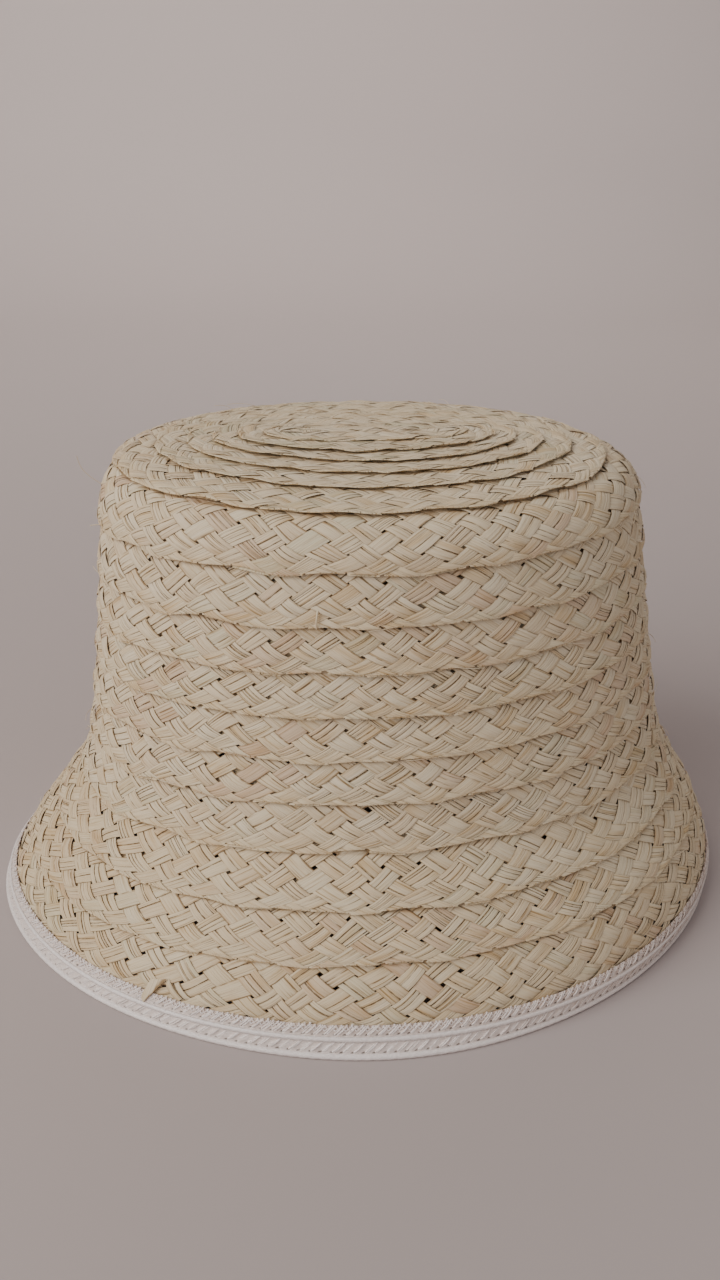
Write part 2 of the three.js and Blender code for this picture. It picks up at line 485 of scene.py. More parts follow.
def strip_shades(drawn, across, turn, tip):
    """Tint, darker on the tip as painted shade, brown edges, painted shade under the row above, and
    yellowing of every grid point.
    """
    folded = smooth_step(across, HALF_BRAID - CLEAN_REACH, HALF_BRAID)
    at_right = np.maximum(0, np.sin(angle_of(turn)))
    rim = AT_EDGE[None, None, :] * mixed(1.0, TIP_RIMS, tip)
    # Fewer brown edges at the right: painted lightening of the side that lies in shade.
    rim = rim * (1 - CLEAN_EDGE * folded) * (1 - RIGHT_SHADE_SOFTENING * at_right)
    # Painted shade: a brown line just below the edge of the row above, where that row overhangs this one.
    below_seam = edge_at(turn) - HALF_BRAID + across - edge_at(turn - 1)
    painted_seam_shade = SEAM_PAINTED_SHADE * mixed(1.0, TIP_SEAM_PAINTED_SHADE, tip) * np.exp(-((below_seam / SEAM_REACH) ** 2))
    brim_yellow = BRIM_YELLOW * smooth_step(turn, *BRIM_TURNS) + LEFT_YELLOW * left_of_brim(turn)
    # The tip leans to the last, darker tint: greenish straw, and painted shade on the top.
    tint = np.clip(drawn.tint + drawn.part_tint, 0, LAST_TINT)[:, None, None]
    return {
        "tint": mixed(tint, 1.0, TIP_TINT_AND_SHADE * tip),
        "rim": np.maximum(rim, painted_seam_shade),
        "yellow": np.maximum(folded, brim_yellow),
    }


def strips_of(family, first_turn, last_turn, split_shares, width_range, seed):
    """Grids of all strips of one slant between two turns: points, places, shades and keep masks."""
    start = math.ceil(length_at(first_turn) / LEG_SPACING)
    stop = math.ceil(length_at(last_turn) / LEG_SPACING)
    drawn = draw_strips(np.arange(start, stop), split_shares, width_range, seed)
    unfolded, share = strip_rows()
    across_strip, side = places_across(drawn, share)

    # Place in the flat braid of every grid point.
    slant = 1.0 if family == 0 else -1.0
    index = -slant * drawn.leg[:, None, None]
    row = unfolded[None, :, None]
    inside = np.clip(row, -HALF_BRAID, HALF_BRAID)
    middle = slant * (STRIPS / 4 - index) * LEG_SPACING
    lean = inside * math.cos(STRIP_ANGLE) - side
    along = middle + slant * lean / math.sin(STRIP_ANGLE)
    turn = turn_at(along)
    tip = 1 - smooth_step(turn, *TIP_FADE)

    # Over and under, and the fold at each edge of the braid.
    fold = np.clip((np.abs(row) - HALF_BRAID) / OVER_HEIGHT, 0, np.pi / 2)
    lift = weave_height(crossing_phase(along, inside, index, slant))
    lift = lift * mixed(1.0, TIP_WEAVE, tip) * np.cos(fold)
    flattened = HALF_BRAID * np.sin(np.pi / 2 * inside / HALF_BRAID)
    across = mixed(inside, flattened, EDGE_FLATTENING) + np.sign(row) * OVER_HEIGHT * np.sin(fold)

    # Unevenness of the strips and of the rows.
    towards_edge = np.clip(share - RAGGED_FROM, 0, 1)[None, :, None] / (1 - RAGGED_FROM)
    across = across + drawn.ragged[:, None, None] * towards_edge
    lift = lift + strip_relief(drawn)
    lift = lift + SWELL * ripple(along, across, SWELL_LENGTH, SWELL_SEED)
    crumple_across = CRUMPLE_ACROSS * across
    lift = lift + CRUMPLE * ripple(along, crumple_across, CRUMPLE_LENGTH, CRUMPLE_SEED + family)
    across = across + WOBBLE * ripple(along, across, WOBBLE_LENGTH, WOBBLE_SEED)

    # The turns of the tip are more ragged, and their outer edges stand up here and there.
    outer = smooth_step(across, 0.0, HALF_BRAID)
    across = across + TIP_RAGGED * tip * outer * ripple(along, 0.0, TIP_LENGTH, RAGGED_SEED)
    lift = lift + TIP_CURL * tip * outer * ripple(along, 0.0, TIP_LENGTH, CURL_SEED)
    along_moved = along + DRIFT * ripple(along, across, DRIFT_LENGTH, DRIFT_SEED)

    points, keep = place_on_braid(along_moved, across, lift)
    keep = keep & (along_moved > length_at(BRAID_START)) & (along_moved < length_at(BRAID_END))
    travelled = (row * np.ones_like(along)) / math.sin(STRIP_ANGLE) + GRAIN_STEP * index
    uv = np.stack([across_strip, travelled], axis=-1)
    return {"points": points, "uv": uv, "keep": keep, **strip_shades(drawn, across, turn, tip)}


def grid_faces(grids, rows, columns, keep):
    """Quads of many equal grids, without those that have a point left out."""
    base = np.arange(grids)[:, None, None] * rows * columns
    row = np.arange(rows - 1)[None, :, None] * columns
    column = np.arange(columns - 1)[None, None, :]
    corner = (base + row + column).ravel()
    quads = np.stack([corner, corner + 1, corner + columns + 1, corner + columns], axis=1)
    return quads[keep.ravel()[quads].all(axis=1)]


def grid_piece(name, node, groups, material):
    """One piece from groups of equal grids, standing for a node of the solids where one is given."""
    points, uv, quads, start = [], [], [], 0
    extras = sorted(set(groups[0]) - {"points", "uv", "keep"})
    values = {key: [] for key in extras}
    for group in groups:
        grids, rows, columns, _ = group["points"].shape
        keep = group.get("keep", np.ones((grids, rows, columns), bool))
        points.append(group["points"].reshape(-1, 3))
        uv.append(group["uv"].reshape(-1, 2))
        quads.append(grid_faces(grids, rows, columns, keep) + start)
        start += grids * rows * columns
        for key in extras:
            values[key].append(group[key].ravel())
    piece = mesh_piece(
        name,
        np.concatenate(points),
        np.concatenate(quads),
        np.concatenate(uv),
        {key: np.concatenate(parts) for key, parts in values.items()},
        material,
    )
    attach(piece, "root")
    if node:
        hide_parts(node)


def mesh_piece(name, points, quads, uv, attributes, material):
    """Smooth mesh object from arrays in millimetres, without the points no quad uses."""
    used, quads = np.unique(quads, return_inverse=True)
    quads = quads.reshape(-1, 4)
    points = points[used] * MM
    mesh = bpy.data.meshes.new(name)
    mesh.vertices.add(len(points))
    mesh.vertices.foreach_set("co", points.astype(np.float32).ravel())
    mesh.loops.add(quads.size)
    mesh.loops.foreach_set("vertex_index", quads.astype(np.int32).ravel())
    mesh.polygons.add(len(quads))
    mesh.polygons.foreach_set("loop_start", np.arange(0, quads.size, 4, dtype=np.int32))
    mesh.update(calc_edges=True)
    mesh.polygons.foreach_set("use_smooth", np.ones(len(quads), bool))
    layer = mesh.uv_layers.new(name="UVMap")
    layer.data.foreach_set("uv", uv[used][quads.ravel()].astype(np.float32).ravel())
    for key, values in attributes.items():
        attribute = mesh.attributes.new(key, "FLOAT", "POINT")
        attribute.data.foreach_set("value", values[used].astype(np.float32))
    mesh.materials.append(material)
    mesh.validate()
    piece = bpy.data.objects.new(name, mesh)
    bpy.context.scene.collection.objects.link(piece)
    return piece


# Sockets of a colour mix: its factor, its two colours and its result.
MIX_FACTOR, MIX_FIRST, MIX_SECOND, MIX_RESULT = 0, 6, 7, 2

NOISE_ROUGHNESS = 0.6


def new_material(name):
    material = bpy.data.materials.new(name)
    material.use_nodes = True
    tree = material.node_tree
    return material, tree, tree.nodes["Principled BSDF"]


def add_node(tree, kind, **inputs):
    made = tree.nodes.new(kind)
    for key, value in inputs.items():
        made.inputs[key.replace("_", " ")].default_value = value
    return made


def ramped(tree, value, stops):
    """Colour of a value on a ramp of rows of place and colour."""
    made = tree.nodes.new("ShaderNodeValToRGB")
    elements = made.color_ramp.elements
    while len(elements) < len(stops):
        elements.new(0.5)
    for element, (place, colour) in zip(elements, stops):
        element.position = place
        element.color = (*colour, 1.0)
    tree.links.new(value, made.inputs["Fac"])
    return made.outputs["Color"]


def ranged(tree, value, start, end):
    """Value carried from one range to another."""
    made = add_node(
        tree, "ShaderNodeMapRange", From_Min=start[0], From_Max=start[1], To_Min=end[0], To_Max=end[1]
    )
    tree.links.new(value, made.inputs["Value"])
    return made.outputs["Result"]


def times(tree, first, second):
    made = tree.nodes.new("ShaderNodeMath")
    made.operation = "MULTIPLY"
    tree.links.new(first, made.inputs[0])
    tree.links.new(second, made.inputs[1])
    return made.outputs["Value"]


def multiplied(tree, colours):
    """Product of several colour outputs."""
    total = colours[0]
    for colour in colours[1:]:
        mix = tree.nodes.new("ShaderNodeMix")
        mix.data_type = "RGBA"
        mix.blend_type = "MULTIPLY"
        mix.inputs[MIX_FACTOR].default_value = 1.0
        tree.links.new(total, mix.inputs[MIX_FIRST])
        tree.links.new(colour, mix.inputs[MIX_SECOND])
        total = mix.outputs[MIX_RESULT]
    return total


def noise_node(tree, place, scale, detail):
    """Noise over a place that is scaled across and along."""
    stretch = add_node(tree, "ShaderNodeMapping", Scale=(*scale, 1.0))
    tree.links.new(place, stretch.inputs["Vector"])
    noise = add_node(tree, "ShaderNodeTexNoise", Scale=1.0, Detail=detail, Roughness=NOISE_ROUGHNESS)
    tree.links.new(stretch.outputs["Vector"], noise.inputs["Vector"])
    return noise.outputs["Fac"]


def bump_node(tree, height, strength, distance):
    made = add_node(tree, "ShaderNodeBump", Strength=strength, Distance=distance)
    tree.links.new(height, made.inputs["Height"])
    return made


def attribute_node(tree, name):
    made = tree.nodes.new("ShaderNodeAttribute")
    made.attribute_name = name
    return made.outputs["Fac"]


def uv_place(tree):
    place = tree.nodes.new("ShaderNodeUVMap")
    place.uv_map = "UVMap"
    return place.outputs["UV"]


# Colours of the strips, from the rare tan ones to the pale ones; the greenish last one shows on the tip,
# darker as painted shade on the top.
STRAW_COLOURS = [
    (0.0, (0.74, 0.57, 0.41)),
    (0.03, (0.78, 0.62, 0.45)),
    (0.1, (0.81, 0.665, 0.482)),
    (0.3, (0.83, 0.695, 0.503)),
    (0.6, (0.84, 0.713, 0.521)),
    (0.85, (0.85, 0.735, 0.558)),
    (0.96, (0.77, 0.68, 0.494)),
    (1.0, (0.62, 0.55, 0.38)),
]

# Shades laid over them: place in the noise, or in an attribute, and colour.
FIBRE_SHADES = [(0.27, (0.56, 0.475, 0.36)), (0.45, (0.95, 0.94, 0.91)), (0.8, (1.0, 1.0, 1.0))]
STREAK_SHADES = [(0.28, (0.54, 0.44, 0.32)), (0.38, (0.93, 0.885, 0.81)), (0.52, (1.0, 1.0, 1.0))]
STAIN_SHADES = [(0.28, (0.87, 0.77, 0.63)), (0.48, (1.0, 0.99, 0.97)), (0.75, (1.0, 1.0, 1.0))]
YELLOW_SHADES = [(0.0, (1.0, 1.0, 1.0)), (1.0, (0.98, 0.955, 0.905))]
# The last ramp colours the brown strip edges and the painted shade under the edge of each row.
RIM_AND_PAINTED_SHADE_COLOURS = [(0.25, (1.0, 1.0, 1.0)), (0.75, (0.43, 0.335, 0.24))]

# Noises over a strip: scale across and along it for each millimetre, and detail.
FIBRE_NOISE = ((5.0, 0.07), 3.0)
STREAK_NOISE = ((2.2, 0.04), 1.0)
STAIN_NOISE = ((0.22, 0.045), 2.0)
EDGE_PATCH_NOISE = ((0.3, 0.3), 1.0)

# Range of the noise that leaves the brown edges and the painted seam shade in patches, and the shares of
# them that it leaves.
EDGE_PATCH_RANGE = (0.34, 0.56)
EDGE_PATCH_SHARES = (0.3, 1.0)

# Bumps: strength, and depth in metres. Surface: range of a noise and of its roughness, and specular level.
GROOVE_BUMP = (0.7, 0.0004)
FIBRE_BUMP = (0.6, 0.0001)
WHOLE_RANGE = (0.0, 1.0)
STRAW_ROUGHNESS = (0.48, 0.72)
STRAW_SPECULAR = 0.3


def straw_material():
    material, tree, shader = new_material("plaited_straw")
    link = tree.links.new
    place = uv_place(tree)
    fibres = noise_node(tree, place, *FIBRE_NOISE)
    streaks = noise_node(tree, place, *STREAK_NOISE)
    stains = noise_node(tree, place, *STAIN_NOISE)
    edge_patches = noise_node(tree, place, *EDGE_PATCH_NOISE)

    # The edges of the strips are brown here and there, and painted shade darkens the straw under the edge of
    # each row.
    rim = times(tree, attribute_node(tree, "rim"), ranged(tree, edge_patches, EDGE_PATCH_RANGE, EDGE_PATCH_SHARES))
    colour = multiplied(tree, [
        ramped(tree, attribute_node(tree, "tint"), STRAW_COLOURS),
        ramped(tree, fibres, FIBRE_SHADES),
        ramped(tree, streaks, STREAK_SHADES),
        ramped(tree, stains, STAIN_SHADES),
        ramped(tree, attribute_node(tree, "yellow"), YELLOW_SHADES),
        ramped(tree, rim, RIM_AND_PAINTED_SHADE_COLOURS),
    ])
    link(colour, shader.inputs["Base Color"])

    # Fine fibres over the grooves of the streaks.
    grooves = bump_node(tree, streaks, *GROOVE_BUMP)
    bump = bump_node(tree, fibres, *FIBRE_BUMP)
    link(grooves.outputs["Normal"], bump.inputs["Normal"])
    link(bump.outputs["Normal"], shader.inputs["Normal"])
    link(ranged(tree, fibres, WHOLE_RANGE, STRAW_ROUGHNESS), shader.inputs["Roughness"])
    shader.inputs["Specular IOR Level"].default_value = STRAW_SPECULAR
    return material


def straw_pieces(material):
    for number, (name, node, first_turn, last_turn) in enumerate(STRETCHES):
        splits = TIP_SPLIT_SHARES if node == "crown_tip" else SPLIT_SHARES
        widths = BRIM_WIDTH_RANGE if node == "brim" else WIDTH_RANGE
        seed = STRIP_SEED + STRETCH_SEEDS * number
        families = [
            strips_of(family, first_turn, last_turn, splits, widths, seed + family)
            for family in (0, 1)
        ]
        grid_piece(name, node, families, material)


# White edge braid: length of its pattern before it is fitted to the edge, needle holes in a pattern,
# and points round a thread.
PATTERN_TARGET = 6.4
HOLES_PER_PATTERN = 2
THREAD_SIDES = 6

# Line along which the edge is measured: level up from the foot, distance off the straw, and stations.
EDGE_LEVEL = 4.0
EDGE_OFF = 1.5
EDGE_STATIONS = 4001

edge_angles = np.linspace(-np.pi, np.pi, EDGE_STATIONS)
edge_width, edge_height = on_outline(OUTLINE_LENGTH - EDGE_LEVEL, EDGE_OFF)
edge_lengths = running_length(on_oval(edge_width, edge_height, edge_angles))
EDGE_LENGTH = edge_lengths[-1]
PATTERNS = round(EDGE_LENGTH / PATTERN_TARGET)
HOLE_SPACING = EDGE_LENGTH / PATTERNS / HOLES_PER_PATTERN

# Sections of the two flat bands: level up from the foot and distance off the straw.
LOWER_BAND = [(0.8, 1.0), (1.6, 1.2), (2.4, 1.2), (3.4, 1.2), (4.6, 1.15), (6.0, 1.0)]
UPPER_BAND = [(5.9, 1.5), (6.8, 1.4), (7.4, 1.25), (8.2, 1.0), (9.2, 0.7), (10.0, 0.42)]

# Sheer of a band at its lower and at its upper edge; on the lower band it is partly painted shade between
# the ribs.
LOWER_SHEER_AND_SHADE = (0.3, 0.4)
UPPER_SHEER = (0.35, 1.0)

# Grid of a band: rows up it, and stations along each pattern.
BAND_ROWS = 15
BAND_STATIONS = 14

# Unevenness of a band: length, how it turns with the level, and its part in holes, relief and sheer.
BAND_WAVE = 5.0
BAND_WAVE_TURN = 9
HOLE_SHIFT = 0.2
BAND_RELIEF = 0.06
SHEER_SHIFT = 0.1

# Needle holes: radius, flatness, depth, lean with the level, swell between them, and level in each band.
HOLE_RADIUS = 0.55
HOLE_FLATNESS = 0.6
HOLE_DEPTH = 0.5
HOLE_LEAN = 0.9
HOLE_SWELL = 0.1
LOWER_HOLES = 2.05
UPPER_HOLES = 7.3

# Smooth ridges: level, distance off the straw, width and thickness.
LOWER_RIDGE = (0.9, 1.15, 1.9, 1.75)
UPPER_RIDGE = (6.15, 1.65, 1.55, 0.95)
RIDGE_STATIONS = 8
RIDGE_PULL = 0.06

# Leaning ribs: lower and upper level, and distance off the straw at each.
LOWER_RIBS = ((2.3, 1.25), (5.4, 1.2))
UPPER_RIBS = ((7.4, 1.3), (9.9, 0.65))

# Strength of every other rib of the lower and of the upper row.
LOWER_WEAK = 0.35
UPPER_WEAK = 0.7

# Threads of a rib: rows, start after a hole, space between the two, lean, and spread of their places.
RIB_ROWS = 9
RIB_START = 0.3
RIB_PAIR = 0.6
RIB_LEAN = 0.95
RIB_SPREAD = 0.22

# How they stand off: range of strength, height, start and span of their half wave, and depth of their roots.
RIB_STRENGTH = (0.35, 1.25)
RIB_HEIGHT = 0.5
RIB_WAVE_START = 0.1
RIB_WAVE_SPAN = 0.85
RIB_ROOT = 0.2

# Width, thickness and greatest sheer of a rib's thread.
RIB_WIDE = 0.6
RIB_THICK = 0.46
RIB_SHEER = 0.25

# Loops of the upper edge: rows of a loop, sheer of each thread, swing, roundness, foot level and height.
LOOP_ROWS = 10
LOOP_SHEERS = (0.1, 0.55)
LOOP_SWING = 0.8
LOOP_ROUNDNESS = 0.8
LOOP_FOOT = 8.4
LOOP_HEIGHT = 1.7

# Unevenness of their height, its length, and how far apart it is between the threads.
LOOP_UNEVEN = 0.5
LOOP_WAVE = 9.0
LOOP_APART = 200

# Their distance off the straw at the foot, loss of it at the top, step between threads, width and thickness.
LOOP_OFF = 1.1
LOOP_LEAN_IN = 0.45
LOOP_STEP = 0.08
LOOP_WIDE = 0.5
LOOP_THICK = 0.25

# The foot of the braid stands out a little in front: depth, spread in degrees and level it starts at.
FLARE_DEPTH = 1.6
FLARE_SPREAD = 20.0
FLARE_LEVEL = 6.4

# Lowest height of the braid over the floor.
CLEARANCE = 0.02

# Painted shade at the far right of the braid, given as more of its sheer tint, on top of the rest.
RIGHT_PAINTED_SHADE = 0.6


def edge_angle(along):
    return np.interp(np.mod(along, EDGE_LENGTH), edge_lengths, edge_angles)


def place_on_edge(flat):
    """Point of the hat from a place along the edge, up from the foot and off the straw."""
    angle = edge_angle(flat[..., 0])
    half_width, height = on_outline(OUTLINE_LENGTH - flat[..., 1], flat[..., 2])
    at_front = np.exp(-((np.degrees(angle) / FLARE_SPREAD) ** 2))
    flare = FLARE_DEPTH * at_front * np.clip(1 - flat[..., 1] / FLARE_LEVEL, 0, 1)
    return on_oval(half_width + flare, np.maximum(height, CLEARANCE), angle)


def right_painted_shade(along):
    """Painted shade toward the right of the braid, given as more of its beige see-through tint."""
    return RIGHT_PAINTED_SHADE * np.maximum(0, np.sin(edge_angle(along)))


def tubes(path, wide, thick):
    """Points round every row of many flat paths, and their lengths round and along."""
    forward = np.gradient(path, axis=1)
    forward /= np.linalg.norm(forward, axis=2, keepdims=True)
    off = np.zeros_like(forward)
    off[..., 2] = 1.0
    off -= (off * forward).sum(axis=2, keepdims=True) * forward
    off /= np.linalg.norm(off, axis=2, keepdims=True)
    sideways = np.cross(forward, off)
    turn = np.linspace(-np.pi / 2, 1.5 * np.pi, THREAD_SIDES + 1)
    flat = path[:, :, None] + wide / 2 * np.cos(turn)[None, None, :, None] * sideways[:, :, None]
    flat = flat + thick / 2 * np.sin(turn)[None, None, :, None] * off[:, :, None]
    steps = np.linalg.norm(np.diff(path, axis=1, prepend=path[:, :1]), axis=2)
    travelled = np.cumsum(steps, axis=1)[:, :, None] + THREAD_STEP * np.arange(len(path))[:, None, None]
    around = (turn * (wide + thick) / 4)[None, None, :]
    return flat, np.stack(np.broadcast_arrays(around, travelled), axis=-1)


def thread_group(path, wide, thick, sheer):
    flat, uv = tubes(path, wide, thick)
    none = np.zeros(flat.shape[:3])
    sheer = np.asarray(sheer, float).reshape(-1, 1, 1) + right_painted_shade(flat[..., 0])
    return {"points": place_on_edge(flat), "uv": uv, "hole": none, "sheer": none + sheer}


def band_group(section, hole_level, sheer):
    """Flat band with a dimple at every needle hole, painted dark as shade; its see-through tint rises from
    its lower to its upper edge, and on the lower band it is partly painted shade between the ribs.
    """
    levels = np.array([row[0] for row in section])
    offs = np.array([row[1] for row in section])
    up = np.linspace(levels[0], levels[-1], BAND_ROWS)
    along = np.linspace(0, EDGE_LENGTH, PATTERNS * BAND_STATIONS + 1)
    along, up = np.meshgrid(along, up, indexing="ij")
    uneven = ripple(along, BAND_WAVE_TURN * up, BAND_WAVE, BAND_SEED)
    lean = along - HOLE_LEAN * (up - hole_level) + HOLE_SHIFT * uneven
    from_hole = np.mod(lean + HOLE_SPACING / 2, HOLE_SPACING) - HOLE_SPACING / 2
    from_level = (up - hole_level) / HOLE_FLATNESS
    hole = np.exp(-((from_hole / HOLE_RADIUS) ** 2) - (from_level / HOLE_RADIUS) ** 2)
    off = np.interp(up, levels, offs) - HOLE_DEPTH * hole
    off = off + HOLE_SWELL * np.sin(2 * np.pi * lean / HOLE_SPACING) + BAND_RELIEF * uneven
    flat = np.stack([along, up, off], axis=-1)[None]
    uv = np.stack([up, along], axis=-1)[None]
    rise = (up - levels[0]) / (levels[-1] - levels[0])
    shown = mixed(sheer[0], sheer[1], rise) + SHEER_SHIFT * uneven + right_painted_shade(along)
    shown = np.clip(shown, 0, 1)
    return {"points": place_on_edge(flat), "uv": uv, "hole": hole[None], "sheer": shown[None]}


def ridge_group(ridge):
    """Smooth cord that runs all round, gathered a little at every needle hole."""
    level, off, wide, thick = ridge
    along = np.linspace(0, EDGE_LENGTH, PATTERNS * RIDGE_STATIONS + 1)
    pull = RIDGE_PULL * np.cos(2 * np.pi * along / HOLE_SPACING)
    path = np.stack([along, level + pull, np.full_like(along, off)], axis=-1)[None]
    return thread_group(path, wide, thick, 0.0)


def rib_group(ribs, weak, rng):
    """Glossy ribs that lean to the right, every other one weak, two threads each."""
    (low, low_off), (high, high_off) = ribs
    first = np.arange(PATTERNS * HOLES_PER_PATTERN) * HOLE_SPACING
    strong = np.where(np.arange(len(first)) % 2 == 0, 1.0, weak)
    first = np.concatenate([first, first + RIB_PAIR])[:, None]
    strong = np.concatenate([strong, strong])[:, None] * rng.uniform(*RIB_STRENGTH, first.shape)
    share = np.linspace(0, 1, RIB_ROWS)[None, :]
    lean = RIB_LEAN * (high - low)
    along = first + RIB_START + lean * share + rng.normal(0, RIB_SPREAD, first.shape)
    up = mixed(low, high, share)
    wave = np.sin(np.pi * (RIB_WAVE_START + RIB_WAVE_SPAN * share))
    off = mixed(low_off, high_off, share) + RIB_HEIGHT * strong * wave - RIB_ROOT
    path = np.stack(np.broadcast_arrays(along, up, off), axis=-1)
    return thread_group(path, RIB_WIDE, RIB_THICK, rng.uniform(0, RIB_SHEER, len(first)))


def loop_group():
    """Sheer loops of the upper edge: two leaning scalloped threads, one behind the other."""
    count = len(LOOP_SHEERS)
    loops = PATTERNS * HOLES_PER_PATTERN
    place = np.arange(loops * LOOP_ROWS + 1)[None, :] / LOOP_ROWS
    thread = np.arange(count)[:, None]
    phase = thread / count
    uneven = ripple(place * HOLE_SPACING + LOOP_APART * phase, 0.0, LOOP_WAVE, LOOP_SEED)
    along = (place + phase) * HOLE_SPACING + LOOP_SWING * np.sin(2 * np.pi * place)
    height = np.abs(np.sin(np.pi * place)) ** LOOP_ROUNDNESS
    up = LOOP_FOOT + (LOOP_HEIGHT + LOOP_UNEVEN * uneven) * height
    off = LOOP_OFF - LOOP_LEAN_IN * height + LOOP_STEP * thread
    path = np.stack(np.broadcast_arrays(along, up, off), axis=-1)
    return thread_group(path, LOOP_WIDE, LOOP_THICK, LOOP_SHEERS)


# Colours of the white braid, from full to sheer, the sheer tint also standing for painted shade between the
# ribs and at the right; painted shade in its needle holes; and shades of its threads.
WHITE_COLOURS = [(0.0, (1.0, 0.91, 0.865)), (1.0, (0.82, 0.65, 0.54))]
HOLE_PAINTED_SHADE = [(0.18, (1.0, 1.0, 1.0)), (0.7, (0.2, 0.17, 0.15))]
THREAD_SHADES = [(0.3, (0.88, 0.86, 0.85)), (0.55, (1.0, 1.0, 1.0))]

# Its noise, bump and gloss, as for the straw, and its sheen.
THREAD_NOISE = ((4.0, 0.9), 3.0)
THREAD_BUMP = (0.9, 0.0003)
WHITE_ROUGHNESS = (0.14, 0.36)
WHITE_SPECULAR = 0.85
WHITE_SHEEN = 0.15


def white_material():
    material, tree, shader = new_material("white_edge_braid")
    link = tree.links.new
    threads = noise_node(tree, uv_place(tree), *THREAD_NOISE)
    colour = multiplied(tree, [
        ramped(tree, attribute_node(tree, "sheer"), WHITE_COLOURS),
        ramped(tree, attribute_node(tree, "hole"), HOLE_PAINTED_SHADE),
        ramped(tree, threads, THREAD_SHADES),
    ])
    link(colour, shader.inputs["Base Color"])
    bump = bump_node(tree, threads, *THREAD_BUMP)
    link(bump.outputs["Normal"], shader.inputs["Normal"])
    link(ranged(tree, threads, WHOLE_RANGE, WHITE_ROUGHNESS), shader.inputs["Roughness"])
    shader.inputs["Specular IOR Level"].default_value = WHITE_SPECULAR
    shader.inputs["Sheen Weight"].default_value = WHITE_SHEEN
    return material


def white_pieces(material):
    rng = np.random.default_rng(RIB_SEED)
    lower = [
        band_group(LOWER_BAND, LOWER_HOLES, LOWER_SHEER_AND_SHADE),
        ridge_group(LOWER_RIDGE),
        rib_group(LOWER_RIBS, LOWER_WEAK, rng),
    ]
    upper = [
        band_group(UPPER_BAND, UPPER_HOLES, UPPER_SHEER),
        ridge_group(UPPER_RIDGE),
        rib_group(UPPER_RIBS, UPPER_WEAK, rng),
        loop_group(),
    ]
    grid_piece("white_braid_lower", "edge_braid_lower", lower, material)
    grid_piece("white_braid_upper", "edge_braid_upper", upper, material)


# Loose fibres: how many, rows of each, and the range of turns whose edges they stand off.
FIBRES = 150
FIBRE_ROWS = 10
FIBRE_TURNS = (1.0, 15.6)

# Their start above a row's edge, ranges of their reach along, down and off, of bow and of tint,
# and their width and thickness.
FIBRE_START = 0.5
FIBRE_ALONG = (3, 11)
FIBRE_DOWN = (-2, 3)
FIBRE_OFF = (0.4, 2.6)
FIBRE_BOW = (0.2, 0.8)
FIBRE_TINTS = (0.1, 0.9)
FIBRE_WIDE = 0.22
FIBRE_THICK = 0.12

# Single strands: angle from the front in degrees, distance down the outline, end counted from there
# along, down and off, bow, width, thickness and tint.
STRANDS = {
    "shoulder hair": (-97.5, 75.0, (-1.0, -5.0, 10.0), 1.5, 0.2, 0.14, 0.3),
    "pale stitch": (-14.3, 86.9, (-0.3, 5.2, 0.2), 0.9, 0.6, 0.3, 0.85),
    "strip beside the folded end": (-33.8, 207.6, (6.2, 4.4, 0.6), 0.8, 1.9, 0.2, 0.5),
}

# Folded straw end: angle and distance of its right upper corner, points of its left and right edges
# from there along, down and off, columns, bow, brown of its right edge, and tint.
FLAP_SPOT = (-33.8, 206.8)
FLAP_LEFT = [(-5.1, 1.6, 0.7), (-6.2, 7.0, 1.7), (-4.7, 8.8, 2.1)]
FLAP_RIGHT = [(0.0, 0.0, 0.8), (-2.35, 4.4, 1.4), (-4.7, 8.8, 2.1)]
FLAP_COLUMNS = 6
FLAP_BOW = 0.5
FLAP_RIM = 1.6
FLAP_TINT = 0.45


def place_near(angle, distance, flat):
    """Point from a place along the oval, down the outline and off it, counted from a start."""
    down = distance + flat[..., 1]
    half_width, _ = on_outline(down, 0.0)
    long_way = (half_width + OVAL_EXTRA) * np.cos(angle)
    speed = np.sqrt(long_way**2 + (half_width * np.sin(angle)) ** 2)
    half_width, height = on_outline(down, flat[..., 2])
    return on_oval(half_width, height, angle + flat[..., 0] / speed)


def strand_group(angle, distance, path, wide, thick, tint):
    """Strands that start at their own angles and distances."""
    flat, uv = tubes(path, wide, thick)
    angle = np.asarray(angle, float).reshape(-1, 1, 1)
    distance = np.asarray(distance, float).reshape(-1, 1, 1)
    shape = flat.shape[:3]
    tint = np.broadcast_to(np.asarray(tint, float).reshape(-1, 1, 1), shape)
    points = place_near(angle, distance, flat)
    return {"points": points, "uv": uv, "tint": tint, "rim": np.zeros(shape)}


def curved_path(ends, bows):
    """Paths from a start to an end: along, down and off, bowed off the straw."""
    share = np.linspace(0, 1, FIBRE_ROWS)[None, :, None]
    path = np.asarray(ends, float)[:, None, :] * share
    path[..., 2] += np.asarray(bows, float)[:, None] * np.sin(np.pi * share[..., 0])
    return path


def loose_fibres():
    """Thin fibres that have worked loose at the edges of the rows."""
    rng = np.random.default_rng(FIBRE_SEED)
    turns = rng.uniform(*FIBRE_TURNS, FIBRES)
    side = rng.choice([-1, 1], FIBRES)
    along = side * rng.uniform(*FIBRE_ALONG, FIBRES)
    down = rng.uniform(*FIBRE_DOWN, FIBRES)
    off = rng.uniform(*FIBRE_OFF, FIBRES)
    path = curved_path(np.stack([along, down, off], axis=1), rng.uniform(*FIBRE_BOW, FIBRES))
    tints = rng.uniform(*FIBRE_TINTS, FIBRES)
    distance = edge_at(turns) - FIBRE_START
    return strand_group(angle_of(turns), distance, path, FIBRE_WIDE, FIBRE_THICK, tints)


def single_strand(name):
    angle, distance, end, bow, wide, thick, tint = STRANDS[name]
    path = curved_path([end], [bow])
    return strand_group(math.radians(angle), distance, path, wide, thick, tint)


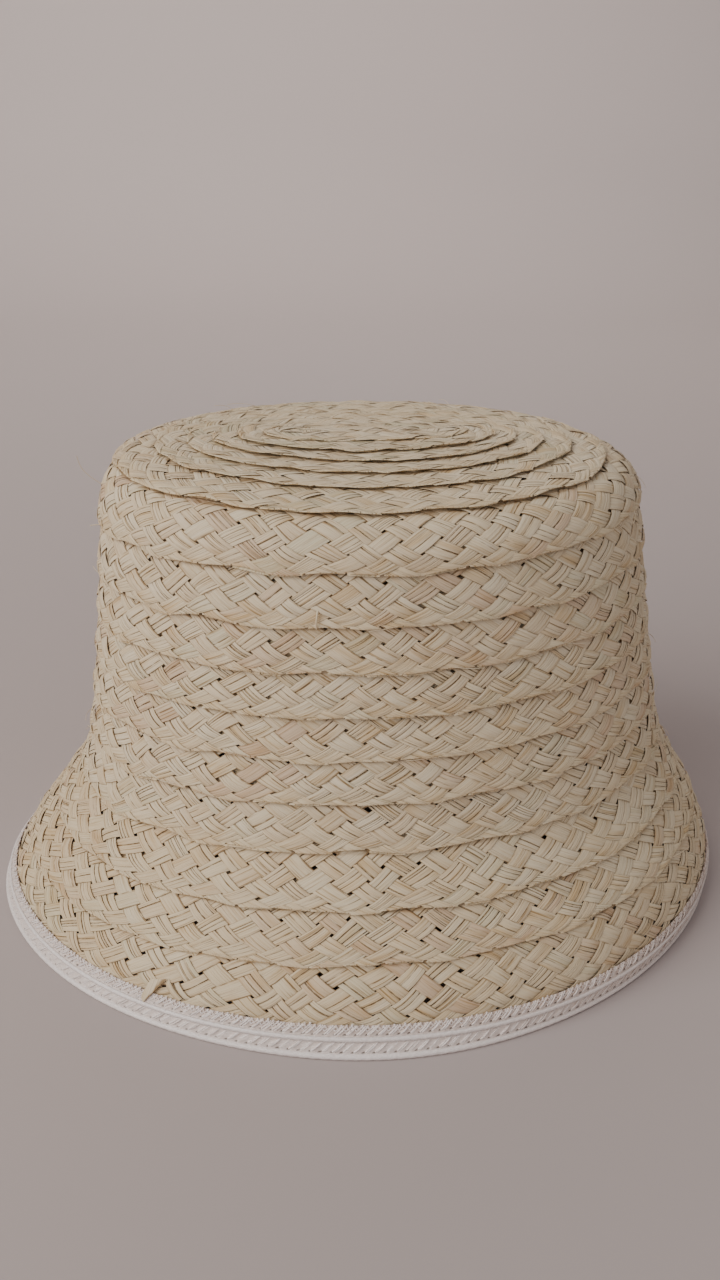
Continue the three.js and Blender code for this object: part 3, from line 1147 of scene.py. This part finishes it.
def flap_group():
    """Flat folded end of a strip, brown along its right edge."""
    angle, distance = FLAP_SPOT
    left = catmull_rom(FLAP_LEFT, FIBRE_ROWS)[:, None]
    right = catmull_rom(FLAP_RIGHT, FIBRE_ROWS)[:, None]
    share = np.linspace(0, 1, FLAP_COLUMNS)[None, :]
    flat = mixed(left, right, share[..., None])[None]
    flat[..., 2] += FLAP_BOW * share * (1 - share)
    shape = flat.shape[:3]
    return {
        "points": place_near(math.radians(angle), distance, flat),
        "uv": flat[..., :2],
        "tint": np.full(shape, FLAP_TINT),
        "rim": np.broadcast_to(FLAP_RIM * share**4, shape),
    }


def fibre_piece(material):
    groups = [
        loose_fibres(),
        single_strand("shoulder hair"),
        single_strand("pale stitch"),
        flap_group(),
        single_strand("strip beside the folded end"),
    ]
    grid_piece("loose_fibres", None, groups, material)


# Studio, in metres: half width and front edge of the floor, start, radius and steps of its sweep up
# into the backdrop, top of the backdrop, and colour and roughness of both.
FLOOR_HALF = 3.0
FLOOR_FRONT = -2.0
SWEEP_START = 0.9
SWEEP_RADIUS = 0.5
SWEEP_STEPS = 12
BACKDROP_TOP = 3.0
FLOOR_COLOUR = (0.495, 0.423, 0.402)
FLOOR_ROUGHNESS = 0.85

# Colours of the light from the left and from the right, and light from all round.
WARM_LIGHT = (1.0, 0.97, 0.94)
COOL_LIGHT = (0.98, 0.945, 1.0)
WORLD_LIGHT = (0.99, 0.975, 0.99)
WORLD_STRENGTH = 0.27

# What the lights point at.
HAT_MIDDLE = (0.0, 0.0, 0.07)
BACKDROP_MIDDLE = (0.0, 1.4, 0.7)

# Square lights: place and target in metres, size, power in watts, spread in degrees and colour.
LIGHTS = {
    "key": ((-1.3, -0.66, 1.14), HAT_MIDDLE, 1.5, 29.8, 180, WARM_LIGHT),
    "fill": ((1.2, -0.9, 0.9), HAT_MIDDLE, 1.8, 3.9, 180, COOL_LIGHT),
    "back": ((0.2, 0.85, 0.7), HAT_MIDDLE, 0.8, 1.2, 180, WARM_LIGHT),
    "backdrop": ((0.0, 0.3, 1.7), BACKDROP_MIDDLE, 1.2, 6.3, 85, WARM_LIGHT),
}


def floor_material():
    material, _, shader = new_material("pale_floor")
    shader.inputs["Base Color"].default_value = (*FLOOR_COLOUR, 1.0)
    shader.inputs["Roughness"].default_value = FLOOR_ROUGHNESS
    return material


def studio_floor():
    """Pale floor that sweeps up behind into a backdrop."""
    profile = [(FLOOR_FRONT, 0.0)]
    for step in range(SWEEP_STEPS + 1):
        turn = math.pi / 2 * step / SWEEP_STEPS
        back = SWEEP_START + SWEEP_RADIUS * math.sin(turn)
        profile.append((back, SWEEP_RADIUS - SWEEP_RADIUS * math.cos(turn)))
    profile.append((SWEEP_START + SWEEP_RADIUS, BACKDROP_TOP))
    mesh = bpy.data.meshes.new("studio_floor")
    points = [(x, y, z) for y, z in profile for x in (-FLOOR_HALF, FLOOR_HALF)]
    faces = [(2 * i, 2 * i + 1, 2 * i + 3, 2 * i + 2) for i in range(len(profile) - 1)]
    mesh.from_pydata(points, [], faces)
    mesh.polygons.foreach_set("use_smooth", np.ones(len(faces), bool))
    mesh.materials.append(floor_material())
    floor = bpy.data.objects.new("studio_floor", mesh)
    bpy.context.scene.collection.objects.link(floor)


def studio_lights():
    """Soft light from the left, weaker from the right and behind, and on the backdrop."""
    for name, (spot, target, size, power, spread, colour) in LIGHTS.items():
        data = bpy.data.lights.new(name, "AREA")
        data.size = size
        data.energy = power
        data.spread = math.radians(spread)
        data.color = colour
        lamp = bpy.data.objects.new(name, data)
        lamp.location = spot
        aim = Vector(target) - Vector(spot)
        lamp.rotation_euler = aim.to_track_quat("-Z", "Y").to_euler()
        bpy.context.scene.collection.objects.link(lamp)

    world = bpy.data.worlds.new("studio")
    world.use_nodes = True
    background = world.node_tree.nodes["Background"]
    background.inputs["Color"].default_value = (*WORLD_LIGHT, 1.0)
    background.inputs["Strength"].default_value = WORLD_STRENGTH
    bpy.context.scene.world = world


# Camera of the photograph: place in millimetres, heading, downward pitch, roll, lens, sensor,
# and nearest distance in metres.
CAMERA_SPOT = (-37.7, -375.0, 274.5)
CAMERA_HEADING = math.radians(5.5)
CAMERA_PITCH = math.radians(26.71)
CAMERA_ROLL = math.radians(0.8)
CAMERA_LENS = 34.2
CAMERA_SENSOR = 36.0
CAMERA_NEAR = 0.01


def photo_camera():
    data = bpy.data.cameras.new("photo_camera")
    data.sensor_width = CAMERA_SENSOR
    data.lens = CAMERA_LENS
    data.clip_start = CAMERA_NEAR
    camera = bpy.data.objects.new("photo_camera", data)
    turn = Matrix.Rotation(-CAMERA_HEADING, 4, "Z")
    turn = turn @ Matrix.Rotation(math.pi / 2 - CAMERA_PITCH, 4, "X")
    turn = turn @ Matrix.Rotation(CAMERA_ROLL, 4, "Z")
    camera.matrix_world = Matrix.Translation(Vector(CAMERA_SPOT) * MM) @ turn
    bpy.context.scene.collection.objects.link(camera)
    bpy.context.scene.camera = camera


straw = straw_material()
straw_pieces(straw)
white_pieces(white_material())
fibre_piece(straw)
studio_floor()
studio_lights()
photo_camera()
